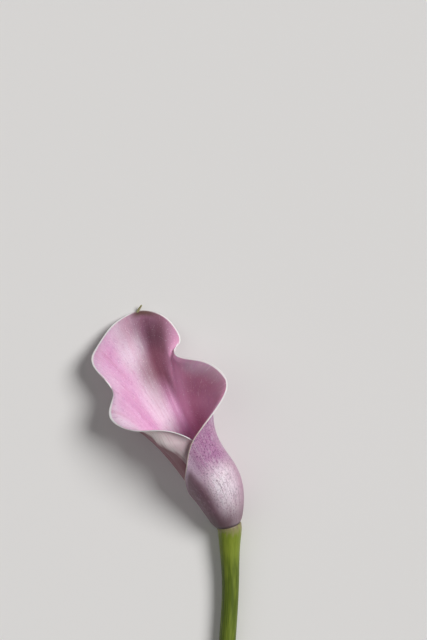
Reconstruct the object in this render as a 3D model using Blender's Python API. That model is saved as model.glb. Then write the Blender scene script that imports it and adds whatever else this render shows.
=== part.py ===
"""One cut calla lily, lying on its back on a table: a stem, the rolled spathe and the spadix inside it.

The spathe is a single leaf. It is rolled round the spadix as a tube, right margin over left, and opens
into a wide limb with a wavy margin and a short green tail. Points are in millimetres: x to the flower's
right, y up the stem towards the tip, z the height above the table. The neck, where stem and spathe meet,
is near x = 0, y = 0; at the end the whole flower is moved so that the origin is the middle of its box.
"""

from math import cos, exp, radians, sin

import bmesh
import bpy
import numpy as np
from mathutils import Vector

MM = 0.001

# Spathe: a leaf of even thickness, rolled with a step between its two layers.
LEAF_THICKNESS = 1.0
ROLL_STEP = 2.0
CELLS_AROUND = 120
CELLS_ALONG = 22
VEIN_SAMPLES = 61  # points on a vein that its length is measured from
SAMPLE_CROWDING = 1.6  # over 1, they crowd towards the margin, where the vein bends most
MARGIN_SPACING = 0.6  # under 1, close rows of the margin get more veins than their distance alone gives

# The middle of the tube, from the neck up into the open flower: (x, y, z).
TUBE_AXIS = [
    (0.4, 1.6, 7.1),
    (-1.9, 11.0, 9.5),
    (-5.5, 21.0, 12.2),
    (-12.0, 31.0, 15.2),
    (-20.8, 46.0, 19.5),
    (-34.0, 71.0, 25.5),
]
# How wide the tube is on the way up: (distance from the neck, radius).
TUBE_RADIUS = [
    (0, 4.5),
    (1.5, 5.7),
    (4, 6.9),
    (10, 9.0),
    (16, 10.6),
    (24, 11.8),
    (33, 11.7),
    (42, 11.0),
    (54, 10.6),
    (120, 13.0),
]
# How far up its height, as a share, each vein starts to lean out of the tube.
FLARE_START = 0.4
# How roundly the veins inside the roll bend out of it.
ROLL_ROUNDNESS = 1.5

# The left margin on its way up inside the roll: (turn round the tube, distance from the neck, how far it
# stands off the roll).
INNER_MARGIN = [(-235, 4, 0.0), (-229, 14, 0.0), (-220, 24.5, 0.2), (-210, 34.5, 0.6), (-200, 43.0, 1.3)]
# The margin round the open flower, from the front lip over the left side to the tip, and down the right
# side to the front: (turn at which its vein leaves the tube, how roundly the vein bends out, x, y, z).
OPEN_MARGIN = [
    (-188, 1.5, -17.4, 44.0, 33.6),
    (-172, 1.5, -26.4, 47.8, 34.5),
    (-154, 1.6, -34.1, 48.7, 32.5),
    (-138, 1.7, -40.3, 48.2, 29.0),
    (-121, 1.9, -47.0, 48.2, 25.0),
    (-106, 1.7, -53.0, 50.2, 22.5),
    (-94, 1.5, -57.0, 54.4, 21.0),
    (-85, 1.4, -56.7, 60.0, 19.5),
    (-77, 1.35, -55.3, 65.5, 18.2),
    (-69, 1.35, -57.6, 70.9, 17.0),
    (-61, 1.35, -62.7, 75.5, 15.7),
    (-51, 1.35, -66.2, 81.8, 13.0),
    (-39, 1.35, -63.4, 88.5, 10.0),
    (-26, 1.4, -56.8, 98.1, 5.8),
    (-13, 1.5, -50.0, 103.2, 2.4),
    (-3, 1.6, -43.9, 105.7, 0.8),
    (5, 1.7, -37.2, 105.4, 1.0),
    (11, 2.0, -30.6, 102.8, 2.4),
    (15, 2.3, -25.0, 96.6, 4.2),
    (18, 2.4, -22.8, 91.7, 5.5),
    (21, 2.5, -23.9, 88.8, 7.5),
    (25, 2.5, -26.5, 85.8, 10.5),
    (31, 2.3, -24.7, 83.7, 14.0),
    (40, 2.1, -19.4, 82.4, 17.5),
    (52, 2.0, -12.2, 81.5, 20.5),
    (65, 2.0, -5.6, 78.3, 23.5),
    (79, 2.1, -1.2, 73.3, 26.0),
    (94, 2.2, -0.8, 68.1, 28.5),
    (112, 2.1, -4.2, 61.1, 31.8),
    (140, 1.9, -10.6, 52.4, 35.0),
    (174, 1.5, -16.5, 44.2, 36.3),
]
# The right margin on its way down, over the roll and round behind it, in the same way as the left one.
OUTER_MARGIN = [
    (193, 45, 3.5),
    (206.5, 40.5, 3.0),
    (228, 35.5, 1.2),
    (256, 27, 0.3),
    (275, 15, 0.0),
    (290, 4, 0.0),
]

# Soft folds in the leaf: where their middle lies (turn, share of the height), how far they spread (in
# turn, in share), and how far they press the leaf outwards, or inwards if negative.
FOLDS = [
    ((-1, 0.92), (12, 0.34), 2.0),
    ((-150, 0.86), (23, 0.12), 4.2),
]
FOLD_FADE = 0.125  # the last share of the height, over which a fold runs out before the margin
# Creases between veins of the open flower are smoothed: the leftmost and rightmost turn, from which
# share of a vein's length, and how many times.
SMOOTHED_TURNS = (-112, 80)
SMOOTHED_FROM = 0.25
SMOOTHING_PASSES = 10

# Tail: the green point in which the midrib ends, as (x, y, z, radius) from inside the leaf outwards.
TAIL = [
    (-44.6, 104.2, 0.9, 0.30),
    (-43.7, 105.6, 1.2, 0.62),
    (-42.9, 106.9, 1.9, 0.55),
    (-42.1, 108.0, 2.9, 0.42),
]
TAIL_SIDES = 8

# Stem: a peg inside the spathe's foot and a shoulder below it, both square to the tube, as (distance from
# the neck, radius), and then the course down to the cut as (x, y, z, radius).
STEM_HEAD = [(4.0, 1.9), (-0.65, 2.1), (-0.75, 5.9), (-2.5, 5.8)]
STEM = [
    (0.9, -9.0, 5.9, 5.1),
    (1.2, -20.0, 5.6, 4.4),
    (1.1, -34.0, 5.3, 4.1),
    (0.0, -52.0, 5.0, 4.1),
    (-2.0, -86.0, 4.6, 4.2),
    (-4.5, -126.0, 4.4, 4.3),
    (-7.0, -170.0, 4.4, 4.4),
]
STEM_STATIONS = 31
STEM_SIDES = 20

# Spadix: (distance from the neck, radius) along the tube's axis.
SPADIX = [(5.2, 1.9), (8, 3.3), (18, 3.7), (30, 3.3), (37, 2.4), (40, 1.2)]
SPADIX_STATIONS = 15
SPADIX_SIDES = 16

COLOURS = {
    "spathe": ((0.72, 0.42, 0.60, 1), 0.45),
    "stem": ((0.13, 0.19, 0.03, 1), 0.4),
    "spadix": ((0.75, 0.55, 0.12, 1), 0.7),
}
MERGE_DISTANCE = 1e-6


def smooth_curve(points, knots):
    """A curve with no kinks (a natural cubic spline) that meets each point at its own knot."""
    points = np.array(points, float)
    steps = np.diff(knots)
    slopes = np.diff(points, axis=0) / steps[:, None]
    matrix = np.eye(len(points))
    bend = np.zeros_like(points)
    for i in range(1, len(points) - 1):
        matrix[i, i - 1 : i + 2] = steps[i - 1], 2 * (steps[i - 1] + steps[i]), steps[i]
        bend[i] = 6 * (slopes[i] - slopes[i - 1])
    bend = np.linalg.solve(matrix, bend)

    def at(knot):
        i = int(np.clip(np.searchsorted(knots, knot) - 1, 0, len(steps) - 1))
        step, back, on = steps[i], knots[i + 1] - knot, knot - knots[i]
        curved = (bend[i] * back**3 + bend[i + 1] * on**3) / (6 * step)
        straight = (points[i] / step - bend[i] * step / 6) * back
        return curved + straight + (points[i + 1] / step - bend[i + 1] * step / 6) * on

    return at


def distances_along(points, power=1.0):
    """How far along a row of points each lies. A power under 1 gives close points more room."""
    gaps = np.linalg.norm(np.diff(np.array(points, float), axis=0), axis=1) ** power
    return np.concatenate([[0], np.cumsum(gaps)])


AXIS_KNOTS = distances_along(TUBE_AXIS)
axis_at = smooth_curve(TUBE_AXIS, AXIS_KNOTS)
radius_at = smooth_curve([[radius] for _, radius in TUBE_RADIUS], [distance for distance, _ in TUBE_RADIUS])


def axis_frame(distance):
    """The axis's point, its direction, and the directions to the back and to the right of the tube."""
    inside = min(max(distance, 0.0), AXIS_KNOTS[-1])
    ahead, behind = min(inside + 1, AXIS_KNOTS[-1]), max(inside - 1, 0.0)
    along = (Vector(axis_at(ahead)) - Vector(axis_at(behind))).normalized()
    point = Vector(axis_at(inside)) + along * (distance - inside)
    back = Vector((0, 0, -1))
    back = (back - along * back.dot(along)).normalized()
    return point, along, back, back.cross(along)


def tube_point(distance, turn, pressed=0.0):
    """A point on the rolled tube. The roll widens with the turn, so that one layer lies over the other."""
    point, _, back, right = axis_frame(distance)
    radius = float(radius_at(distance)[0]) + ROLL_STEP * turn / 360 + pressed
    return point + (back * cos(radians(turn)) + right * sin(radians(turn))) * radius


def distance_up(point):
    """How far up the axis a point lies, by halving the stretch that holds it."""
    low, high = 0.0, 200.0
    for _ in range(40):
        middle = (low + high) / 2
        base, along, _, _ = axis_frame(middle)
        if (Vector(point) - base).dot(along) > 0:
            low = middle
        else:
            high = middle
    return low


def margin_rows():
    """The whole margin from foot to foot, as rows of (turn, roundness, x, y, z)."""
    inner = [(turn, ROLL_ROUNDNESS, *tube_point(up, turn, off)) for turn, up, off in INNER_MARGIN]
    outer = [(turn, ROLL_ROUNDNESS, *tube_point(up, turn, off)) for turn, up, off in OUTER_MARGIN]
    return np.array(inner + OPEN_MARGIN + outer)


def fold_depth(turn, share):
    """How far the soft folds press the leaf outwards here."""
    depth = 0.0
    for (at_turn, at_share), (turn_spread, share_spread), press in FOLDS:
        away = ((turn - at_turn) / turn_spread) ** 2 + ((share - at_share) / share_spread) ** 2
        depth += press * exp(-away)
    return depth


def leaf_point(vein, share):
    """The point of a vein at this share of its height: up the tube first, then bending out to the margin."""
    turn, roundness, rim, height = vein
    up = share * height
    rise = max(0.0, (share - FLARE_START) / (1 - FLARE_START))
    lean = 1 - max(0.0, 1 - rise**roundness) ** (1 / roundness)
    pressed = fold_depth(turn, share) * min(1.0, (1 - share) / FOLD_FADE)
    return tube_point(up, turn, pressed) + (rim - tube_point(height, turn)) * lean


def vein_points(vein):
    """Points along a vein from the neck to the margin, evenly spaced along its length."""
    shares = 1 - np.linspace(1, 0, VEIN_SAMPLES) ** SAMPLE_CROWDING
    points = np.array([leaf_point(vein, share) for share in shares])
    lengths = distances_along(points)
    even = np.linspace(0, lengths[-1], CELLS_ALONG + 1)
    return np.stack([np.interp(even, lengths, points[:, i]) for i in range(3)], axis=1)


def make_veins():
    """Veins side by side, each as (turn, roundness, its end on the margin, how high that lies)."""
    rows = margin_rows()
    knots = distances_along(rows[:, 2:], MARGIN_SPACING)
    margin = smooth_curve(rows[:, 2:], knots)
    veins = []
    for knot in np.linspace(0, knots[-1], CELLS_AROUND + 1):
        rim = Vector(margin(knot))
        turn, roundness = (float(np.interp(knot, knots, rows[:, column])) for column in (0, 1))
        veins.append((turn, roundness, rim, distance_up(rim)))
    return veins


def make_spathe():
    """A flat grid, bent into the leaf vein by vein, smoothed, and then given its thickness."""
    veins = make_veins()
    columns = [vein_points(vein) for vein in veins]
    creased = []
    bm = bmesh.new()
    bmesh.ops.create_grid(bm, x_segments=CELLS_AROUND, y_segments=CELLS_ALONG, size=0.5)
    for vert in bm.verts:
        across, along = round((vert.co.x + 0.5) * CELLS_AROUND), round((vert.co.y + 0.5) * CELLS_ALONG)
        vert.co = Vector(columns[across][along]) * MM
        in_the_open = SMOOTHED_TURNS[0] < veins[across][0] < SMOOTHED_TURNS[1]
        if in_the_open and along > SMOOTHED_FROM * CELLS_ALONG and not vert.is_boundary:
            creased.append(vert)
    for _ in range(SMOOTHING_PASSES):
        bmesh.ops.smooth_vert(
            bm, verts=creased, factor=0.5, use_axis_x=True, use_axis_y=True, use_axis_z=True
        )
    obj = add_object("spathe", bm)
    wall = obj.modifiers.new("leaf thickness", "SOLIDIFY")
    wall.thickness = LEAF_THICKNESS * MM
    wall.offset = 0
    make_tail(obj)
    return obj


def make_tail(spathe):
    """The tail grows out of the tip of the leaf: one body with it."""
    rod = tapered_rod("tail course", [t[:3] for t in TAIL], [t[3] for t in TAIL], TAIL_SIDES)
    bm = bmesh.new()
    bm.from_mesh(rod.to_mesh())
    bmesh.ops.remove_doubles(bm, verts=bm.verts, dist=MERGE_DISTANCE)
    bpy.data.objects.remove(rod)
    tail = add_object("tail", bm)
    tail.hide_render = True
    tail.display_type = "WIRE"
    union = spathe.modifiers.new("tail", "BOOLEAN")
    union.operation = "UNION"
    union.object = tail


def tapered_rod(name, points, radii, sides):
    """A round rod along a smooth curve, with closed ends."""
    curve = bpy.data.curves.new(name, "CURVE")
    curve.dimensions = "3D"
    curve.bevel_depth = MM
    curve.bevel_resolution = sides // 4 - 1
    curve.use_fill_caps = True
    spline = curve.splines.new("POLY")
    spline.points.add(len(points) - 1)
    for spot, point, radius in zip(spline.points, points, radii):
        spot.co = (*(Vector(point) * MM), 1)
        spot.radius = radius
    obj = bpy.data.objects.new(name, curve)
    bpy.context.collection.objects.link(obj)
    return obj


def make_stem():
    head = [(*axis_frame(distance)[0], radius) for distance, radius in STEM_HEAD]
    course = head[-1:] + STEM
    knots = distances_along(course)
    curve = smooth_curve(course, knots)
    stations = head[:-1] + [curve(knot) for knot in np.linspace(0, knots[-1], STEM_STATIONS)]
    return tapered_rod("stem", [s[:3] for s in stations], [s[3] for s in stations], STEM_SIDES)


def make_spadix():
    distances, radii = zip(*SPADIX)
    radius = smooth_curve([[r] for r in radii], distances)
    stations = np.linspace(distances[0], distances[-1], SPADIX_STATIONS)
    return tapered_rod(
        "spadix",
        [axis_frame(distance)[0] for distance in stations],
        [float(radius(distance)[0]) for distance in stations],
        SPADIX_SIDES,
    )


def add_object(name, bm):
    mesh = bpy.data.meshes.new(name)
    bm.to_mesh(mesh)
    bm.free()
    obj = bpy.data.objects.new(name, mesh)
    bpy.context.collection.objects.link(obj)
    mesh.shade_smooth()
    return obj


def paint(obj):
    colour, roughness = COLOURS[obj.name]
    material = bpy.data.materials.new(obj.name)
    material.use_nodes = True
    shader = material.node_tree.nodes["Principled BSDF"]
    shader.inputs["Base Color"].default_value = colour
    shader.inputs["Roughness"].default_value = roughness
    obj.data.materials.append(material)


def stand_on_origin(nodes):
    """Moves everything so that the origin is the middle of the whole box, at its lowest height."""
    seen = bpy.context.evaluated_depsgraph_get()
    corners = [vert.co for node in nodes for vert in node.evaluated_get(seen).to_mesh().vertices]
    low = Vector(min(corner[i] for corner in corners) for i in range(3))
    high = Vector(max(corner[i] for corner in corners) for i in range(3))
    for obj in bpy.data.objects:
        obj.location = -Vector(((low.x + high.x) / 2, (low.y + high.y) / 2, low.z))


def main():
    for obj in list(bpy.data.objects):
        bpy.data.objects.remove(obj)
    nodes = [make_stem(), make_spathe(), make_spadix()]
    for node in nodes:
        paint(node)
    stand_on_origin(nodes)


main()
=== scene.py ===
from math import cos, exp, pi, radians, sin

import bmesh
import bpy
import numpy as np
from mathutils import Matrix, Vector, noise


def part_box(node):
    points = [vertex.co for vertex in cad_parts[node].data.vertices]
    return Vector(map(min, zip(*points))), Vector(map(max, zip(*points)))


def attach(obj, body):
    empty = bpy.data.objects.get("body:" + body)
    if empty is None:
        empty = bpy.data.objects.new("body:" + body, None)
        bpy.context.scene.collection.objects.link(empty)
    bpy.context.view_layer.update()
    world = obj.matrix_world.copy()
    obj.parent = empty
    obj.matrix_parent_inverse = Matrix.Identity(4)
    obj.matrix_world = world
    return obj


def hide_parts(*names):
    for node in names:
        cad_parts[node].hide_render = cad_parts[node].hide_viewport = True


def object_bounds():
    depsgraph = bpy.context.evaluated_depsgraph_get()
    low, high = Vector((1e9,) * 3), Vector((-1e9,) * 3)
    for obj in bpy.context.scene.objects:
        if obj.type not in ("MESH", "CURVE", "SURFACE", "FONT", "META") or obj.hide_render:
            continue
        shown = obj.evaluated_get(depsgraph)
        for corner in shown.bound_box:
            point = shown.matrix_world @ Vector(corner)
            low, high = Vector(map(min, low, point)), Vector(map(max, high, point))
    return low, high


# A cut calla lily that lies on its back. Lengths are in millimetres in the flower's own layout: neck at
# zero, x to its right, y up the stem towards the tip, z up from the table. The last step on each piece,
# inPlace, turns them into metres and moves them to where the solids are.

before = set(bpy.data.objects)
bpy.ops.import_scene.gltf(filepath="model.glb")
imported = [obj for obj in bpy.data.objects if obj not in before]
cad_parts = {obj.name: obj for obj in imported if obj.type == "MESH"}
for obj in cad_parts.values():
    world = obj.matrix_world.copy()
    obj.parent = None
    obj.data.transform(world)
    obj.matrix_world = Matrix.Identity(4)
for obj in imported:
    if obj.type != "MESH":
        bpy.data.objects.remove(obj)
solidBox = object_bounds()
mm = 0.001
leafLow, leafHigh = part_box("spathe")
leafReach = {"left": -66.19, "tip": 108.3}  # how far the solid leaf reaches from the neck
neck = Vector((leafLow.x - leafReach["left"] * mm, leafHigh.y - leafReach["tip"] * mm, solidBox[0].z))


def inPlace(point):
    return neck + Vector(point) * mm


def tint(red, green, blue):
    # 0 to 255 as a screen shows them, turned into the plain light values that shaders use
    parts = np.array((red, green, blue)) / 255
    plain = np.where(parts < 0.0405, parts / 12.92, ((parts + 0.055) / 1.055) ** 2.4)
    return (*plain.tolist(), 1.0)


# Curves that the leaf and the stem follow.

def smoothCurve(points, knots):
    # natural cubic spline: meets each point at its own knot
    points = np.array(points, float)
    steps = np.diff(knots)
    slopes = np.diff(points, axis=0) / steps[:, None]
    matrix = np.eye(len(points))
    bend = np.zeros_like(points)
    for i in range(1, len(points) - 1):
        matrix[i, i - 1 : i + 2] = steps[i - 1], 2 * (steps[i - 1] + steps[i]), steps[i]
        bend[i] = 6 * (slopes[i] - slopes[i - 1])
    bend = np.linalg.solve(matrix, bend)

    def at(knot):
        i = int(np.clip(np.searchsorted(knots, knot) - 1, 0, len(steps) - 1))
        step, back, on = steps[i], knots[i + 1] - knot, knot - knots[i]
        curved = (bend[i] * back**3 + bend[i + 1] * on**3) / (6 * step)
        straight = (points[i] / step - bend[i] * step / 6) * back
        return curved + straight + (points[i + 1] / step - bend[i + 1] * step / 6) * on

    return at


def distancesAlong(points, power=1.0):
    gaps = np.linalg.norm(np.diff(np.array(points, float), axis=0), axis=1) ** power
    return np.concatenate([[0], np.cumsum(gaps)])


def fade(value, start, end):
    share = min(max((value - start) / (end - start), 0.0), 1.0)
    return share * share * (3 - 2 * share)


def sweep(bm, stations, around):
    # a flat grid rolled round a course of (x, y, z, radius) and closed at both ends
    course = np.array(stations)
    knots = distancesAlong(course[:, :3])
    last = len(stations) - 1
    grain = bm.verts.layers.float_vector.get("grain") or bm.verts.layers.float_vector.new("grain")
    made = bmesh.ops.create_grid(bm, x_segments=around, y_segments=last, size=0.5)["verts"]
    for vert in made:
        angle = 2 * pi * (vert.co.x + 0.5)
        i = round((vert.co.y + 0.5) * last)
        heading = Vector(course[min(i + 1, last), :3] - course[max(i - 1, 0), :3]).normalized()
        side = heading.cross(Vector((0, 0, 1))).normalized()
        upright = side.cross(heading)
        vert.co = Vector(course[i, :3]) + (side * cos(angle) + upright * sin(angle)) * course[i, 3]
        vert[grain] = (course[i, 3] * cos(angle), course[i, 3] * sin(angle), knots[i])
    bmesh.ops.remove_doubles(bm, verts=made, dist=1e-4)
    made = [vert for vert in made if vert.is_valid]
    own = set(made)
    ends = [edge for edge in bm.edges if edge.is_boundary and edge.verts[0] in own]
    bmesh.ops.holes_fill(bm, edges=ends, sides=0)
    return made


# Spathe: one leaf, rolled as a tube and opened into a wavy limb.

leaf = {
    "tubeAxis": [(0.4, 1.6, 7.1), (-1.9, 11.0, 9.5), (-5.5, 21.0, 12.2), (-12.0, 31.0, 15.2),
                 (-20.8, 46.0, 19.5), (-34.0, 71.0, 25.5)],
    # distance up the tube, radius
    "tubeRadius": [(0, 4.5), (1.5, 5.7), (4, 6.9), (10, 9.0), (16, 10.6), (24, 11.8), (33, 11.7),
                   (42, 11.0), (54, 10.6), (120, 13.0)],
    "rollStep": 2.0,  # the roll widens by this much each time round
    "flareStart": 0.4,  # share of the height where the veins start to bend outwards
    # margin inside the roll: turn round the tube, distance up, how far it stands off the roll
    "innerMargin": [(-235, 4, 0.0), (-229, 14, 0.0), (-220, 24.5, 0.2), (-210, 34.5, 0.6),
                    (-200, 43.0, 1.3)],
    # margin of the open flower: turn, how roundly the vein bends out, x, y, z
    "openMargin": [
        (-188, 1.5, -17.4, 44.0, 33.6), (-172, 1.5, -26.4, 47.8, 34.5), (-154, 1.6, -34.1, 48.7, 32.5),
        (-138, 1.7, -40.3, 48.2, 29.0), (-121, 1.9, -47.0, 48.2, 25.0), (-106, 1.7, -53.0, 50.2, 22.5),
        (-94, 1.5, -57.0, 54.4, 21.0), (-85, 1.4, -56.7, 60.0, 19.5), (-77, 1.35, -55.3, 65.5, 18.2),
        (-69, 1.35, -57.6, 70.9, 17.0), (-61, 1.35, -62.7, 75.5, 15.7), (-51, 1.35, -66.2, 81.8, 13.0),
        (-39, 1.35, -63.4, 88.5, 10.0), (-26, 1.4, -56.8, 98.1, 5.8), (-13, 1.5, -50.0, 103.2, 2.4),
        (-3, 1.6, -43.9, 105.7, 0.8), (5, 1.7, -37.2, 105.4, 1.0), (11, 2.0, -30.6, 102.8, 2.4),
        (15, 2.3, -25.0, 96.6, 4.2), (18, 2.4, -22.8, 91.7, 5.5), (21, 2.5, -23.9, 88.8, 7.5),
        (25, 2.5, -26.5, 85.8, 10.5), (31, 2.3, -24.7, 83.7, 14.0), (40, 2.1, -19.4, 82.4, 17.5),
        (52, 2.0, -12.2, 81.5, 20.5), (65, 2.0, -5.6, 78.3, 23.5), (79, 2.1, -1.2, 73.3, 26.0),
        (94, 2.2, -0.8, 68.1, 28.5), (112, 2.1, -4.2, 61.1, 31.8), (140, 1.9, -10.6, 52.4, 35.0),
        (174, 1.5, -16.5, 44.2, 36.3),
    ],
    # margin of the wrap, told as the one inside the roll is
    "outerMargin": [(193, 45, 3.5), (206.5, 40.5, 3.0), (228, 35.5, 1.2), (256, 27, 0.3),
                    (275, 15, 0.0), (290, 4, 0.0)],
    "knotPower": 0.6,  # evens out the margin's curve between near and far points
    "rolledVein": 1.5,  # how roundly the veins inside the roll and in the wrap bend
    # soft folds: middle (turn, share of the height), spread, how far they press the leaf outwards
    "folds": [((-1, 0.92), (12, 0.34), 2.0), ((-150, 0.86), (23, 0.12), 4.2)],
    "foldEnd": 8,  # the folds die away over the last eighth of the height
    "cellsAcross": 210,
    "cellsAlong": 50,
    "crowding": 1.35,  # rows of cells crowd towards the margin
    "veinSteps": 61,
    "veinCrowding": 1.6,
    "underWrap": 70,  # margin that is this many degrees off belongs to another layer
    # creases between veins are softened: passes, from which share of the height, left and right turn,
    # how far from the margin
    "softening": [(40, 0.3, -112, 80, 0.0), (130, 0.4, 4, 54, 3.0)],
    "thickness": (0.95, 0.5),  # at the foot and at the margin
    "thinning": 12,  # the leaf thins over this distance from the margin
    "curl": (0.5, 2.2),  # how far the margin rolls outwards, and over what width
    "curlEnds": (190, 150),  # turns from which the margin starts to curl, and curls fully
    "ripple": 0.35,
    "rippleScale": (14, 0.03),  # waves across the whole leaf, and per millimetre up
    "rippleStart": (15, 50),  # it grows between these distances up
    # thread at the tip: x, y, z, radius
    "tail": [(-44.8, 102.6, 0.75, 0.3), (-44.5, 104.4, 0.85, 0.62), (-43.7, 105.6, 1.2, 0.62),
             (-42.9, 106.9, 1.9, 0.52), (-42.2, 107.9, 2.8, 0.44), (-42.0, 108.1, 3.1, 0.25)],
    "tailSides": 16,
    "tailShare": 2.0,  # more than any share on the leaf, which tells the tail apart
}
axisKnots = distancesAlong(leaf["tubeAxis"])
axisAt = smoothCurve(leaf["tubeAxis"], axisKnots)
radiusAt = smoothCurve([[radius] for _, radius in leaf["tubeRadius"]],
                       [up for up, _ in leaf["tubeRadius"]])


def axisFrame(up):
    # point on the tube's axis, its direction, and the directions to the tube's back and right
    inside = min(max(up, 0.0), axisKnots[-1])
    ahead, behind = min(inside + 1, axisKnots[-1]), max(inside - 1, 0.0)
    along = (Vector(axisAt(ahead)) - Vector(axisAt(behind))).normalized()
    point = Vector(axisAt(inside)) + along * (up - inside)
    back = Vector((0, 0, -1))
    back = (back - along * back.dot(along)).normalized()
    return point, along, back, back.cross(along)


def tubePoint(up, turn, pressed=0.0):
    point, _, back, right = axisFrame(up)
    radius = float(radiusAt(up)[0]) + leaf["rollStep"] * turn / 360 + pressed
    return point + (back * cos(radians(turn)) + right * sin(radians(turn))) * radius


def distanceUp(point):
    # halves the stretch of axis that the point can stand square to, until it is short enough
    low, high, halvings = 0.0, 200.0, 30
    for _ in range(halvings):
        middle = (low + high) / 2
        base, along, _, _ = axisFrame(middle)
        if (Vector(point) - base).dot(along) > 0:
            low = middle
        else:
            high = middle
    return low


def foldDepth(turn, share):
    depth = 0.0
    for (atTurn, atShare), (turnSpread, shareSpread), press in leaf["folds"]:
        offTurn = (turn - atTurn) / turnSpread
        offShare = (share - atShare) / shareSpread
        depth += press * exp(-offTurn**2 - offShare**2)
    return depth


def leafPoint(vein, share):
    # up the tube first, then bending out to the margin
    turn, roundness, rim, height = vein
    rise = max(0.0, (share - leaf["flareStart"]) / (1 - leaf["flareStart"]))
    lean = 1 - max(0.0, 1 - rise**roundness) ** (1 / roundness)
    pressed = foldDepth(turn, share) * min(1.0, leaf["foldEnd"] * (1 - share))
    return tubePoint(share * height, turn, pressed) + (rim - tubePoint(height, turn)) * lean


def veinPoints(vein):
    # points along the vein: x, y, z and the share of the height
    shares = 1 - np.linspace(1, 0, leaf["veinSteps"]) ** leaf["veinCrowding"]
    points = np.array([(*leafPoint(vein, share), share) for share in shares])
    lengths = distancesAlong(points[:, :3])
    steps = lengths[-1] * (1 - np.linspace(1, 0, leaf["cellsAlong"] + 1) ** leaf["crowding"])
    return np.stack([np.interp(steps, lengths, points[:, i]) for i in range(4)], axis=1)


def rolledRows(name):
    # rows of a margin that lies on the roll, told as those of the open margin are
    return [(turn, leaf["rolledVein"], *tubePoint(up, turn, lift)) for turn, up, lift in leaf[name]]


def makeVeins():
    rows = rolledRows("innerMargin") + leaf["openMargin"] + rolledRows("outerMargin")
    rows = np.array(rows)
    knots = distancesAlong(rows[:, 2:], leaf["knotPower"])
    margin = smoothCurve(rows[:, 2:], knots)
    veins = []
    for knot in np.linspace(0, knots[-1], leaf["cellsAcross"] + 1):
        rim = Vector(margin(knot))
        turn, roundness = (float(np.interp(knot, knots, rows[:, column])) for column in (0, 1))
        veins.append((turn, roundness, rim, distanceUp(rim)))
    return veins


def makeLeafSheet():
    # a flat grid bent into the leaf, with what the shading needs to know at each point
    veins = makeVeins()
    columns = [veinPoints(vein) for vein in veins]
    margin = np.array([vein[2] for vein in veins])
    turns = np.array([vein[0] for vein in veins])
    bm = bmesh.new()
    bmesh.ops.create_grid(bm, x_segments=leaf["cellsAcross"], y_segments=leaf["cellsAlong"], size=0.5)
    names = ("turn", "up", "share", "edge", "across", "lane", "inner")
    facts = {name: bm.verts.layers.float.new(name) for name in names}
    lanes = lanesFromMidrib(columns, turns)
    for vert in bm.verts:
        across, along = vert.co.x + 0.5, vert.co.y + 0.5
        column, row = round(across * leaf["cellsAcross"]), round(along * leaf["cellsAlong"])
        x, y, z, share = columns[column][row]
        vert.co = (x, y, z)
        vert[facts["turn"]] = turns[column]
        vert[facts["up"]] = share * veins[column][3]
        vert[facts["share"]] = share
        own = margin[np.abs(turns - turns[column]) < leaf["underWrap"]]
        vert[facts["edge"]] = float(np.linalg.norm(own - np.array([x, y, z]), axis=1).min())
        vert[facts["across"]] = across
        vert[facts["lane"]] = lanes[column][row]
    return bm, facts


def lanesFromMidrib(columns, turns):
    # how far each point lies from the midrib, across the veins: negative on the left
    points = np.array(columns)[:, :, :3]
    steps = np.linalg.norm(np.diff(points, axis=0), axis=2)
    across = np.concatenate([np.zeros((1, points.shape[1])), np.cumsum(steps, axis=0)])
    midrib = int(np.abs(turns).argmin())
    return across - across[midrib]


def softenCreases(bm, facts):
    for passes, lowest, left, right, inset in leaf["softening"]:
        limb = [vert for vert in bm.verts if not vert.is_boundary and vert[facts["share"]] > lowest
                and left < vert[facts["turn"]] < right and vert[facts["edge"]] > inset]
        for _ in range(passes):
            bmesh.ops.smooth_vert(bm, verts=limb, factor=0.5, use_axis_x=True, use_axis_y=True,
                                  use_axis_z=True)


def outwardSign(sheet, facts):
    # the back of the tube faces down
    halfWay = 30
    back = min(sheet, key=lambda vert: abs(vert[facts["turn"]]) + abs(vert[facts["up"]] - halfWay))
    return 1 if back.normal.z < 0 else -1


def makeSpathe():
    bm, facts = makeLeafSheet()
    softenCreases(bm, facts)
    bm.normal_update()
    sheet = list(bm.verts)
    outwards = outwardSign(sheet, facts)
    normals = [vert.normal * outwards for vert in sheet]
    curl, width = leaf["curl"]
    acrossScale, upScale = leaf["rippleScale"]
    for vert, normal in zip(sheet, normals):
        near = max(0.0, 1 - vert[facts["edge"]] / width)
        curled = curl * near**2 * fade(abs(vert[facts["turn"]]), *leaf["curlEnds"])
        spot = Vector((vert[facts["across"]] * acrossScale, vert[facts["up"]] * upScale, 0))
        ripple = leaf["ripple"] * noise.noise(spot) * fade(vert[facts["up"]], *leaf["rippleStart"])
        vert.co += normal * (curled + ripple)
    foot, edge = leaf["thickness"]
    copied = bmesh.ops.duplicate(bm, geom=list(bm.verts) + list(bm.edges) + list(bm.faces))
    inner = [copied["vert_map"][vert] for vert in sheet]
    for vert, twin, normal in zip(sheet, inner, normals):
        wall = edge + (foot - edge) * fade(vert[facts["edge"]], 0, leaf["thinning"])
        vert.co += normal * wall / 2
        twin.co -= normal * wall / 2
        twin[facts["inner"]] = 1.0
    rims = [rim for rim in bm.edges if rim.is_boundary]
    bmesh.ops.bridge_loops(bm, edges=rims)
    for vert in sweep(bm, leaf["tail"], leaf["tailSides"]):
        vert[facts["share"]] = leaf["tailShare"]
    return finishPiece("spatheLeaf", bm, leafMaterial(), smoothing=1)


# Steps that the pieces share.

sharpAngle = 50  # degrees, from which an edge is shaded as a corner


def meshFrom(bm, name):
    mesh = bpy.data.meshes.new(name)
    bm.to_mesh(mesh)
    bm.free()
    return mesh


def addObject(name, data):
    added = bpy.data.objects.new(name, data)
    bpy.context.scene.collection.objects.link(added)
    return added


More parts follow.
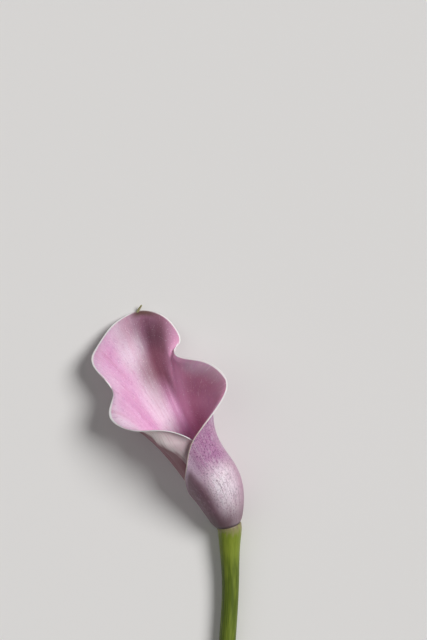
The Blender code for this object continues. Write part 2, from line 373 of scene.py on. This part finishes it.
def finishPiece(name, bm, material, smoothing=0):
    bmesh.ops.recalc_face_normals(bm, faces=bm.faces)
    for vert in bm.verts:
        vert.co = inPlace(vert.co)
    mesh = meshFrom(bm, name)
    mesh.shade_smooth()
    mesh.set_sharp_from_angle(angle=radians(sharpAngle))
    piece = addObject(name, mesh)
    mesh.materials.append(material)
    if smoothing:
        subsurf = piece.modifiers.new("smooth", "SUBSURF")
        subsurf.levels = subsurf.render_levels = smoothing
    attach(piece, "root")
    return piece


# Materials.

class Level:
    # a shader socket that takes part in ordinary sums
    def __init__(self, recipe, socket):
        self.recipe, self.socket = recipe, socket

    def sum(self, operation, first, second):
        return self.recipe.node("ShaderNodeMath", {"operation": operation}, {0: first, 1: second})

    def __add__(self, other):
        return self.sum("ADD", self, other)

    def __radd__(self, other):
        return self.sum("ADD", other, self)

    def __sub__(self, other):
        return self.sum("SUBTRACT", self, other)

    def __rsub__(self, other):
        return self.sum("SUBTRACT", other, self)

    def __mul__(self, other):
        return self.sum("MULTIPLY", self, other)

    def __rmul__(self, other):
        return self.sum("MULTIPLY", other, self)


class Recipe:
    # one material while it is being mixed
    def __init__(self, name, **constants):
        self.material = bpy.data.materials.new(name)
        self.material.use_nodes = True
        self.tree = self.material.node_tree
        self.shader = self.tree.nodes["Principled BSDF"]
        for socket, value in constants.items():
            self.shader.inputs[socket.replace("_", " ")].default_value = value

    def node(self, kind, settings, inputs, output=0):
        made = self.tree.nodes.new(kind)
        for setting, value in settings.items():
            setattr(made, setting, value)
        for socket, value in inputs.items():
            if isinstance(value, Level):
                self.tree.links.new(value.socket, made.inputs[socket])
            else:
                made.inputs[socket].default_value = value
        return Level(self, made.outputs[output])

    def fact(self, name, output="Fac"):
        return self.node("ShaderNodeAttribute", {"attribute_name": name}, {}, output)

    def place(self):
        return self.node("ShaderNodeTexCoord", {}, {}, "Object")

    def stretch(self, vector, scale):
        return self.node("ShaderNodeVectorMath", {"operation": "MULTIPLY"}, {0: vector, 1: scale})

    def joined(self, x, y, z):
        return self.node("ShaderNodeCombineXYZ", {}, {0: x, 1: y, 2: z})

    def noise(self, vector, scale=1.0, detail=2.0, roughness=0.5, distortion=0.0):
        values = {"Vector": vector, "Scale": scale, "Detail": detail, "Roughness": roughness,
                  "Distortion": distortion}
        return self.node("ShaderNodeTexNoise", {}, values)

    def between(self, value, start, end, low=0.0, high=1.0):
        # a soft step from low to high while the value goes from start to end, either way round
        values = {0: value, 1: start, 2: end, 3: low, 4: high}
        return self.node("ShaderNodeMapRange", {"interpolation_type": "SMOOTHSTEP"}, values)

    def blend(self, share, first, second):
        # sockets 6, 7 and 2 are the two colours and the mixed one
        return self.node("ShaderNodeMix", {"data_type": "RGBA"}, {0: share, 6: first, 7: second}, 2)

    def feed(self, **sockets):
        for socket, value in sockets.items():
            self.tree.links.new(value.socket, self.shader.inputs[socket.replace("_", " ")])

    def bump(self, height, distance):
        values = {"Height": height, "Distance": distance, "Strength": 1.0}
        return self.node("ShaderNodeBump", {}, values, "Normal")


petal = {
    # patterns that follow the leaf: cells across it, cells per millimetre up, shift between its sides
    "streaks": (90.0, 0.035, 7.0),
    "fine": (420.0, 0.10, 3.0),
    "specks": (520.0, 0.9, 5.0),
    "mottle": (150.0, 0.3, 5.0),
    "winding": (60.0, 0.03, 9.0),
    # patterns in space: cells per metre
    "broad": 45.0,
    "grain": 2600.0,
    "glintCells": 2000.0,
    "relief": 0.00012,  # metres
    # tints inside
    "pink": tint(231, 168, 210),
    "pale": tint(242, 211, 231),
    "rose": tint(203, 128, 161),
    # painted light: a lighter pink for lit bands inside
    "streak": tint(220, 156, 190),
    # painted highlight along the crease below the notch
    "foldHighlightPink": tint(233, 165, 204),
    "mauve": tint(164, 112, 136),
    # painted shade for the valley by the midrib, darkest near the tip
    "channelPaintedShade": tint(123, 57, 77),
    "channelPaintedShadeTop": tint(84, 27, 47),
    "fleck": tint(186, 112, 168),
    "dusty": tint(168, 126, 150),
    "shoulder": tint(204, 172, 192),
    "apex": tint(96, 66, 56),
    # painted glints: white specks that stand in for tiny highlights
    "paintedGlint": tint(255, 236, 248),
    # tints outside
    "lip": tint(250, 238, 236),
    "lipDusk": tint(202, 180, 186),
    "lipVein": tint(186, 158, 166),
    # painted shade under the lip, over a dusty rose
    "under": tint(150, 96, 108),
    "wrap": tint(190, 142, 176),
    "wrapEdge": tint(204, 178, 198),
    "heart": tint(174, 110, 158),
    "freckle": tint(114, 58, 104),
    # painted shade on the wrap's lower left side
    "paintedShadeLeft": tint(126, 88, 102),
    # pale front of the bulb, where the painted light goes
    "bulb": tint(249, 234, 243),
    # painted shade for the bulb's sides and lower part
    "bulbPaintedShade": tint(124, 86, 100),
    "bulbVein": tint(128, 90, 118),
    "back": tint(190, 148, 172),
    # painted shade at the foot
    "foot": tint(106, 76, 86),
    "footLine": tint(64, 34, 46),
    # tints of the margin and the tail
    "margin": tint(252, 246, 246),
    "wrapRim": tint(216, 202, 190),
    "tail": tint(168, 166, 120),
}


def leafMaterial():
    # Turn is in degrees round the tube; up, edge and lane are in millimetres. A mask goes from nothing
    # to full between its two numbers, and a number after it is how strongly the tint then covers.
    r = Recipe("spathe leaf", Subsurface_Weight=0.2, Subsurface_Scale=0.0015,
               Subsurface_Radius=(1.0, 0.45, 0.6), Sheen_Weight=0.08)
    turn, up, share = r.fact("turn"), r.fact("up"), r.fact("share")
    edge, lane, across, inner = r.fact("edge"), r.fact("lane"), r.fact("across"), r.fact("inner")
    place = r.place()

    def alongLeaf(name, detail, roughness=0.6, distortion=0.0):
        cells, cellsUp, shift = petal[name]
        spot = r.joined(across * cells, up * cellsUp, inner * shift)
        return r.noise(spot, detail=detail, roughness=roughness, distortion=distortion)

    streaks = alongLeaf("streaks", 4.0)
    fine = alongLeaf("fine", 3.0)
    specks = alongLeaf("specks", 2.0)
    mottle = alongLeaf("mottle", 4.0, 0.7, 0.6)
    broad = r.noise(place, petal["broad"]) - 0.5
    grain = r.noise(place, petal["grain"], roughness=0.6)
    # painted glints: white specks that stand in for tiny highlights
    paintedGlint = r.between(r.noise(place, petal["glintCells"], detail=1.0), 0.66, 0.73)

    # inside: pink, rosier on the right, with a pale band left of the midrib that painted shade dulls
    # half way up
    wander = lane + broad * 8.0
    bandEdge = r.between(up, 84.0, 94.0, -20.0, -26.0)
    paleBand = r.between(wander, bandEdge, bandEdge + 12.0) * r.between(wander, 0.0, -6.0)
    paintedShadeGap = paleBand * r.between(up, 74.0, 83.0) * r.between(up, 94.0, 85.0)
    inside = r.blend(r.between(wander, 3.0, 14.0), petal["pink"], petal["rose"])
    inside = r.blend(paleBand, inside, petal["pale"])
    # painted shade: a greyish mauve dip beside the dark valley
    inside = r.blend(paintedShadeGap * r.between(wander, -20.0, -8.0, 0.15, 0.45), inside, petal["mauve"])

    # pale along the left margin, partly its own pale margin and partly painted light, more painted
    # light where the left lobe ends, mauve left of the tip
    nearMargin = r.between(edge, 7.0, 1.0) * r.between(turn, 20.0, -70.0)
    # painted light where the left lobe ends
    corner = r.between(turn, -72.0, -108.0) * r.between(edge, 20.0, 3.0)
    inside = r.blend(nearMargin * 0.5 + corner * 0.85, inside, petal["pale"])
    aroundTip = r.between(up, 95.0, 106.0) * r.between(lane, -22.0, -6.0)
    inside = r.blend(aroundTip * 0.7, inside, petal["mauve"])

    # right lobe: dull towards its margin, paler on the shoulder, painted light low down, painted shade
    # above that
    height = up + broad * 8.0
    rightLobe = r.between(lane, 24.0, 38.0)
    dull = r.between(edge, 11.0, 1.5) * r.between(up, 66.0, 78.0, 0.2, 0.85)
    inside = r.blend(rightLobe * dull, inside, petal["dusty"])
    shoulder = r.between(lane, 29.0, 40.0) * r.between(edge, 9.0, 1.5)
    shoulder = shoulder * r.between(up, 60.0, 70.0) * r.between(up, 83.0, 77.0)
    inside = r.blend(shoulder * 0.7, inside, petal["shoulder"])
    # painted light low on the right lobe
    inside = r.blend(rightLobe * r.between(height, 67.0, 58.0) * 0.55, inside, petal["streak"])
    # painted shade higher up on the right lobe
    paintedShadeAbove = r.between(height, 80.0, 72.0) * r.between(up, 60.0, 68.0)
    inside = r.blend(rightLobe * paintedShadeAbove * 0.3, inside, petal["channelPaintedShade"])

    # a painted highlight in a band right of the midrib, then veins and flecks all over
    # painted highlight in a band right of the midrib
    highlightStreak = r.between(wander, 8.0, 13.0) * r.between(wander, 20.0, 13.0)
    highlightStreak = highlightStreak * r.between(share, 0.95, 0.8)
    inside = r.blend(highlightStreak * 0.5, inside, petal["streak"])
    inside = r.blend(r.between(streaks, 0.45, 0.75) * 0.3, inside, petal["rose"])
    inside = r.blend(r.between(mottle, 0.52, 0.68) * 0.3, inside, petal["fleck"])
    inside = r.blend(r.between(specks, 0.58, 0.7) * 0.4, inside, petal["fleck"])
    inside = r.blend(r.between(mottle, 0.44, 0.32) * 0.3, inside, petal["pale"])

    # by the notch: mauve above it, dusty at its margin, a pink painted highlight along the crease below
    # it
    aboveNotch = r.between(turn, 22.0, 16.0)
    upperRight = aboveNotch * r.between(lane, 4.0, 9.0) * r.between(up, 84.0, 92.0)
    inside = r.blend(upperRight, inside, petal["mauve"])
    notch = aboveNotch * r.between(lane, 9.0, 15.0) * r.between(edge, 9.0, 2.0)
    inside = r.blend(notch * 0.4, inside, petal["dusty"])
    # painted highlight along the crease below the notch
    foldHighlight = r.between(turn, 10.0, 19.0) * r.between(turn, 44.0, 26.0) * r.between(share, 0.5, 0.66)
    inside = r.blend(foldHighlight * 0.7, inside, petal["foldHighlightPink"])

    # the valley by the midrib darkened as painted shade, painted glints, and the brown patch under the
    # tip
    leftSide = r.between(up, 82.0, 96.0, -14.0, -11.0)
    channelPaintedShade = r.between(lane, leftSide, leftSide + 13.0) * r.between(wander, 18.0, 4.0)
    channelPaintedShade = channelPaintedShade * r.between(up + broad * 12.0, 58.0, 84.0) * r.between(up, 106.0, 98.0, 0.8, 1.0)
    # painted shade in the valley, deepest near the tip
    shadow = r.blend(r.between(up, 88.0, 98.0), petal["channelPaintedShade"], petal["channelPaintedShadeTop"])
    inside = r.blend(channelPaintedShade * r.between(edge, 0.5, 6.0, 0.5, 0.92), inside, shadow)
    # fewer painted glints where painted shade lies
    inside = r.blend(paintedGlint * (0.6 - channelPaintedShade * 0.5 - rightLobe * 0.4), inside, petal["paintedGlint"])
    atApex = r.between(lane, -8.0, -3.0) * r.between(lane, 11.0, 1.0) * r.between(up, 98.0, 104.0)
    inside = r.blend(atApex * r.between(edge, 4.0, 0.8) * 0.9, inside, petal["apex"])

    # outside: freckled mauve wrap, deepest in its heart, with painted shade on its lower left side
    bloom = r.between(turn + broad * 20.0, 88.0, 112.0) * r.between(turn + broad * 30.0, 202.0, 176.0)
    heart = bloom * r.between(turn, 116.0, 138.0) * r.between(turn, 180.0, 154.0)
    outside = r.blend(bloom, petal["wrapEdge"], petal["wrap"])
    outside = r.blend(heart * 0.6, outside, petal["heart"])
    outside = r.blend(r.between(mottle, 0.5, 0.64) * bloom * 0.5, outside, petal["heart"])
    outside = r.blend(r.between(specks, 0.5, 0.6) * (bloom * 0.45 + 0.35), outside, petal["freckle"])
    outside = r.blend(r.between(fine, 0.52, 0.36) * (0.6 - heart * 0.3), outside, petal["wrapEdge"])
    outside = r.blend(r.between(mottle, 0.45, 0.34) * bloom * 0.5, outside, petal["wrapEdge"])
    # painted shade low on the wrap's left side
    paintedShadeLeft = r.between(turn + broad * 24.0, 194.0, 210.0) * r.between(up + broad * 10.0, 43.0, 35.0)
    outside = r.blend(paintedShadeLeft * r.between(edge, 0.8, 2.6) * 0.8, outside, petal["paintedShadeLeft"])

    # pale veined bulb, painted light on its front, painted shade on its sides and low down, and now and
    # then a long vein
    veer = turn + broad * 16.0
    # painted light on the bulb's front
    paintedLitFront = r.between(veer, 98.0, 160.0) * r.between(veer, 213.0, 174.0)
    # painted shade on the bulb's left side; the right side takes the back's tint
    bulb = r.blend(r.between(turn, 180.0, 205.0), petal["back"], petal["bulbPaintedShade"])
    bulb = r.blend(paintedLitFront, bulb, petal["bulb"])
    bulb = r.blend(r.between(mottle, 0.5, 0.62) * 0.35, bulb, petal["back"])
    # painted shade low on the bulb
    bulb = r.blend(r.between(up, 24.0, 8.0) * 0.4, bulb, petal["bulbPaintedShade"])
    bulb = r.blend(r.between(fine, 0.5, 0.7) * 0.5, bulb, petal["bulbVein"])
    bulb = r.blend(r.between(specks, 0.54, 0.64) * 0.6, bulb, petal["bulbVein"])
    cells, cellsUp, shift = petal["winding"]
    winding = r.noise(r.joined(across * cells, up * cellsUp, shift), detail=1.0) - 0.5
    longVein = r.between(winding * winding, 0.00012, 0.0) * r.between(up, 30.0, 24.0)
    bulb = r.blend(longVein * r.between(mottle, 0.35, 0.6) * 0.5, bulb, petal["footLine"])
    outside = r.blend(r.between(up + broad * 16.0, 37.0, 25.0), outside, bulb)

    # veined back, the side under the lip darkened as painted shade, painted shade at the foot, and a
    # dark line at the foot
    outside = r.blend(r.between(turn, 100.0, 50.0) * 0.8, outside, petal["back"])
    backVeins = r.between(fine, 0.5, 0.7) * r.between(turn, 110.0, 60.0)
    outside = r.blend(backVeins * 0.3, outside, petal["bulbVein"])
    # painted shade under the lip
    outside = r.blend(r.between(turn, -60.0, -100.0), outside, petal["under"])
    # painted shade at the foot, strongest on its left
    foot = r.between(up, 14.0, 3.0) * r.between(turn, 145.0, 185.0, 0.6, 0.9)
    outside = r.blend(foot, outside, petal["foot"])
    outside = r.blend(r.between(up, 2.2, 0.6) * 0.9, outside, petal["footLine"])

    # cream lip: a wedge that widens from the left to the roll
    wedge = r.between(turn, -118.0, -156.0, 0.6, 9.8) + (streaks - 0.5) * 7.0
    lip = r.between(wedge - edge, -1.6, 1.8) * r.between(turn, -112.0, -124.0)
    cream = r.blend(r.between(turn, -134.0, -172.0), petal["lip"], petal["lipDusk"])
    cream = r.blend(r.between(fine, 0.46, 0.68) * 0.5, cream, petal["lipVein"])
    outside = r.blend(lip, outside, cream)

    # margin: a thin white line, cream on the wrap and fainter at the tip
    bright = 0.95 - atApex * 0.65
    rimLine = r.between(edge - bright * 0.28, 0.38, 0.0) * bright
    rimTint = r.blend(r.between(turn, 120.0, 170.0), petal["margin"], petal["wrapRim"])
    colour = r.blend(inner, outside, inside)
    colour = r.blend(rimLine, colour, rimTint)
    colour = r.blend(r.between(share, 1.4, 1.6), colour, petal["tail"])
    roughness = r.between(streaks, 0.3, 0.7, 0.42, 0.56) - paintedGlint * 0.15
    relief = r.bump(streaks + fine * 0.7 + grain * 0.25, petal["relief"])
    r.feed(Base_Color=colour, Roughness=roughness, Normal=relief)
    return r.material


print("spathe")
spathe = makeSpathe()
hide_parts("spathe")


# Stem: a smooth stalk with a cut end.

stalk = {
    # peg and shoulder, square to the leaf's tube: distance up the tube, radius
    "head": [(4.0, 1.9), (0.2, 2.2), (0.15, 4.8), (-0.1, 5.8), (-0.8, 6.1), (-2.5, 5.9)],
    # down to the cut end: x, y, z, radius
    "course": [(0.9, -9.0, 5.9, 5.1), (1.2, -20.0, 5.6, 4.4), (1.1, -34.0, 5.3, 4.1),
               (0.0, -52.0, 5.0, 4.1), (-2.0, -86.0, 4.6, 4.2), (-4.5, -126.0, 4.4, 4.3),
               (-7.0, -170.0, 4.4, 4.4)],
    # rings of the cut face: how far it is sunk, share of the stem's radius
    "cut": [(-0.05, 0.985), (-0.03, 0.95), (0.12, 0.8), (0.2, 0.4), (0.22, 0.02)],
    "cellsAround": 48,
    "cellsAlong": 90,
    # patterns: cells per millimetre, twice across and once along
    "streaks": (0.9, 0.9, 0.02),
    "lines": (2.6, 2.6, 0.015),
    "broad": (0.35, 0.35, 0.06),
    "fleshCells": 1.6,
    "relief": 0.00015,  # metres
    "green": tint(98, 116, 24),
    "paleGreen": tint(148, 162, 56),
    "deepGreen": tint(62, 78, 14),
    "cream": tint(150, 146, 98),
    "blush": tint(124, 84, 96),
    "flesh": tint(198, 208, 150),
    "fleshDots": tint(120, 140, 70),
}


def stemMaterial():
    r = Recipe("green stalk", Roughness=0.42, Specular_IOR_Level=0.3, Subsurface_Weight=0.05,
               Subsurface_Scale=0.001, Subsurface_Radius=(0.5, 1.0, 0.2))
    grain = r.fact("grain", "Vector")
    streaks = r.noise(r.stretch(grain, stalk["streaks"]), detail=4.0, roughness=0.6)
    lines = r.noise(r.stretch(grain, stalk["lines"]))
    broad = r.noise(r.stretch(grain, stalk["broad"]))
    length = r.node("ShaderNodeSeparateXYZ", {}, {0: grain}, "Z")

    # green with soft paler stretches, palest just under the flower
    green = r.blend(r.between(streaks, 0.25, 0.75) * 0.35 + 0.32, stalk["deepGreen"], stalk["green"])
    patches = r.between(streaks * 0.25 + broad * 0.75, 0.46, 0.66)
    ribs = r.between(lines, 0.52, 0.68)
    nearFlower = r.between(length, 26.0, 15.0)
    for mask in (patches * 0.4, ribs * 0.25, nearFlower * 0.45):
        green = r.blend(mask, green, stalk["paleGreen"])

    # a ragged cream and then reddish edge where the leaf begins
    ragged = length + (streaks - 0.5) * 12.0 + (lines - 0.5) * 6.0
    colour = r.blend(r.between(ragged, 9.6, 6.0) * 0.85, green, stalk["cream"])
    colour = r.blend(r.between(ragged, 6.0, 3.5) * 0.45, colour, stalk["blush"])

    # the cut end, dotted with the ends of its vessels
    cells = {"Vector": grain, "Scale": stalk["fleshCells"]}
    dots = r.node("ShaderNodeTexVoronoi", {}, cells, "Distance")
    flesh = r.blend(r.between(dots, 0.3, 0.12) * 0.6, stalk["flesh"], stalk["fleshDots"])
    colour = r.blend(r.fact("cut"), colour, flesh)
    r.feed(Base_Color=colour, Normal=r.bump(streaks + lines * 0.5, stalk["relief"]))
    return r.material


def makeStem():
    head = [(*axisFrame(up)[0], radius) for up, radius in stalk["head"]]
    course = head[-1:] + stalk["course"]
    knots = distancesAlong([point[:3] for point in course])
    curve = smoothCurve(course, knots)
    steps = np.linspace(0, knots[-1], stalk["cellsAlong"])
    stations = head[:-1] + [tuple(curve(knot)) for knot in steps]
    end = np.array(stations[-1])
    inwards = (np.array(stations[-2]) - end)[:3]
    inwards = inwards / np.linalg.norm(inwards)
    rings = [(*(end[:3] + inwards * sunk), end[3] * share) for sunk, share in stalk["cut"]]
    bm = bmesh.new()
    cut = bm.verts.layers.float.new("cut")
    sweep(bm, stations, stalk["cellsAround"])
    for vert in sweep(bm, rings, stalk["cellsAround"]):
        vert[cut] = 1.0
    return finishPiece("stemStalk", bm, stemMaterial())


print("stem")
stem = makeStem()
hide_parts("stem")


# Spadix: a core crowded with tiny florets.

spadixParts = {
    # distance up the tube, radius
    "core": [(5.2, 1.7), (8, 3.0), (18, 3.4), (30, 3.0), (36, 2.3), (39, 1.3), (39.8, 0.3)],
    "cellsAround": 24,
    "florets": 520,
    "reach": (6.5, 39.2),  # where the lowest and the highest florets stand
    "floretSize": 0.78,
    "floretCells": (8, 5),  # round it and from pole to pole
    "turnStep": 137.5,  # degrees from one floret to the next
    "shrinkFrom": 33,  # from here up the florets get smaller
    "shrinkBy": 0.35,
    # patterns: cells per metre, and the relief in metres
    "speckle": 900.0,
    "pollenGrains": 4200.0,
    "relief": 0.0002,
    "yellow": tint(232, 176, 52),
    "gold": tint(206, 132, 24),
    "pollen": tint(248, 216, 120),
    "corn": tint(214, 190, 110),
}


def spadixMaterial():
    r = Recipe("spadix florets", Roughness=0.7, Subsurface_Weight=0.2, Subsurface_Scale=0.001,
               Subsurface_Radius=(1.0, 0.6, 0.2))
    place = r.place()
    speckle = r.noise(place, spadixParts["speckle"])
    pollen = r.noise(place, spadixParts["pollenGrains"], roughness=0.7)
    colour = r.blend(r.between(speckle, 0.35, 0.65), spadixParts["gold"], spadixParts["yellow"])
    colour = r.blend(r.between(r.fact("reach"), 0.28, 0.12), colour, spadixParts["corn"])
    colour = r.blend(r.between(pollen, 0.52, 0.68) * 0.7, colour, spadixParts["pollen"])
    r.feed(Base_Color=colour, Normal=r.bump(pollen, spadixParts["relief"]))
    return r.material


def makeFlorets(ranks):
    # a few florets in a mesh of their own, each standing square on the core
    bm = bmesh.new()
    reach = bm.verts.layers.float.new("reach")
    ups, radii = zip(*spadixParts["core"])
    low, high = spadixParts["reach"]
    around, along = spadixParts["floretCells"]
    for rank in ranks:
        share = (rank + 0.5) / spadixParts["florets"]
        up = low + (high - low) * share
        point, _, back, right = axisFrame(up)
        angle = radians(rank * spadixParts["turnStep"])
        out = (back * cos(angle) + right * sin(angle)).normalized()
        stand = out.to_track_quat("Z", "Y").to_matrix().to_4x4()
        stand.translation = point + out * float(np.interp(up, ups, radii))
        smaller = spadixParts["shrinkBy"] * fade(up, spadixParts["shrinkFrom"], high)
        size = spadixParts["floretSize"] * (1 - smaller)
        made = bmesh.ops.create_uvsphere(bm, u_segments=around, v_segments=along, radius=size,
                                         matrix=stand)
        for vert in made["verts"]:
            vert[reach] = share
    return meshFrom(bm, "florets")


def makeSpadix():
    bm = bmesh.new()
    bm.verts.layers.float.new("reach")
    core = [(*axisFrame(up)[0], radius) for up, radius in spadixParts["core"]]
    sweep(bm, core, spadixParts["cellsAround"])
    batch = 20  # few enough that the operators stay quick
    for first in range(0, spadixParts["florets"], batch):
        florets = makeFlorets(range(first, first + batch))
        bm.from_mesh(florets)
        bpy.data.meshes.remove(florets)
    return finishPiece("spadixFlorets", bm, spadixMaterial())


print("spadix")
spadix = makeSpadix()
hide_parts("spadix")


# Light, floor and camera.

studio = {
    "opticalAxis": (-7.0, 100.8),  # where the view's middle meets the table, from the neck
    "distance": 1.02,  # metres above the table
    "lens": 117.2,
    "sensor": 36,
    "floor": tint(238, 236, 234),
    "floorHalf": 4.0,  # metres from its middle to its sides
    "floorDrop": 0.0002,  # keeps the floor just clear of what lies on it
    # softboxes: where the light comes from, how wide it spreads in degrees, strength
    "key": ((0.62, 0.3, 0.74), 30, 2.5),
    "fill": ((-0.6, 0.2, 0.8), 60, 0.4),
    "roomLight": 0.1,
}


def makeFloor():
    bm = bmesh.new()
    bmesh.ops.create_grid(bm, x_segments=1, y_segments=1, size=studio["floorHalf"])
    floor = addObject("floor", meshFrom(bm, "floor"))
    floor.location.z = solidBox[0].z - studio["floorDrop"]
    paper = Recipe("floor paper", Base_Color=studio["floor"], Roughness=0.8)
    floor.data.materials.append(paper.material)


def makeLight(name):
    # a broad softbox far away, so that the floor is lit evenly
    fromSide, softness, power = studio[name]
    light = bpy.data.lights.new(name, "SUN")
    light.angle = radians(softness)
    light.energy = power
    lamp = addObject(name, light)
    lamp.rotation_euler = Vector(fromSide).to_track_quat("Z", "Y").to_euler()


def makeCamera():
    data = bpy.data.cameras.new("camera")
    data.sensor_width = studio["sensor"]
    data.lens = studio["lens"]
    camera = addObject("camera", data)
    camera.location = inPlace((*studio["opticalAxis"], 0)) + Vector((0, 0, studio["distance"]))
    bpy.context.scene.camera = camera


def lightRoom():
    world = bpy.data.worlds.new("studio")
    bpy.context.scene.world = world
    world.use_nodes = True
    background = world.node_tree.nodes["Background"]
    background.inputs["Color"].default_value = (1, 1, 1, 1)
    background.inputs["Strength"].default_value = studio["roomLight"]
    bpy.context.scene.view_settings.view_transform = "Standard"


print("studio")
makeFloor()
makeLight("key")
makeLight("fill")
lightRoom()
makeCamera()
